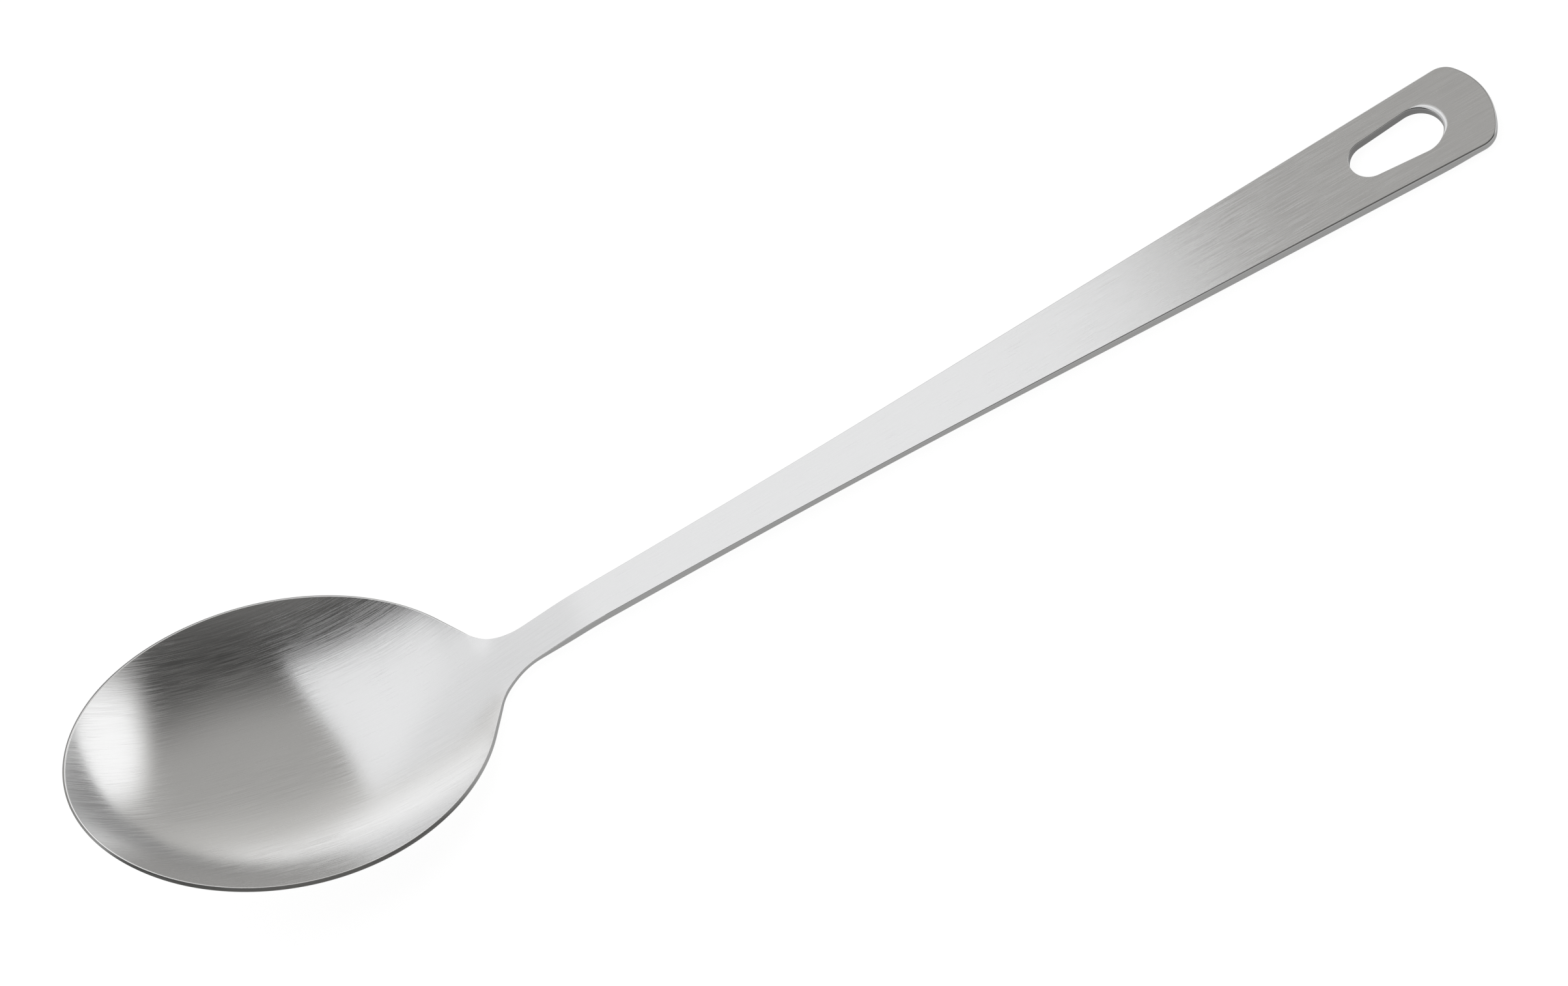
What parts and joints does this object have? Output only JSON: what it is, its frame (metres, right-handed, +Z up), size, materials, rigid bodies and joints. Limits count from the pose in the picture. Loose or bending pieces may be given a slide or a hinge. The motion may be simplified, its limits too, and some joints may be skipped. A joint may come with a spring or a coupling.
{
  "type": "serving spoon",
  "caption": "Long-handled serving spoon with a shallow oval bowl and a flat tapering handle that ends in a hanging slot",
  "frame": {"origin": "on the table, under the middle of the spoon's length and width, as it lies at rest on its bowl and its handle's tip", "axes": "+X from the bowl to the handle's tip, +Y across the spoon, and +Z up from the table"},
  "size_m": [0.339, 0.0732, 0.0394],
  "materials": {
    "bowl_steel": "satin stainless steel, brushed along and round the hollow",
    "handle_steel": "satin stainless steel, brushed along the handle"
  },
  "bodies": {
    "root": {"bowl": "bowl_steel", "handle": "handle_steel"}
  },
  "joints": []
}
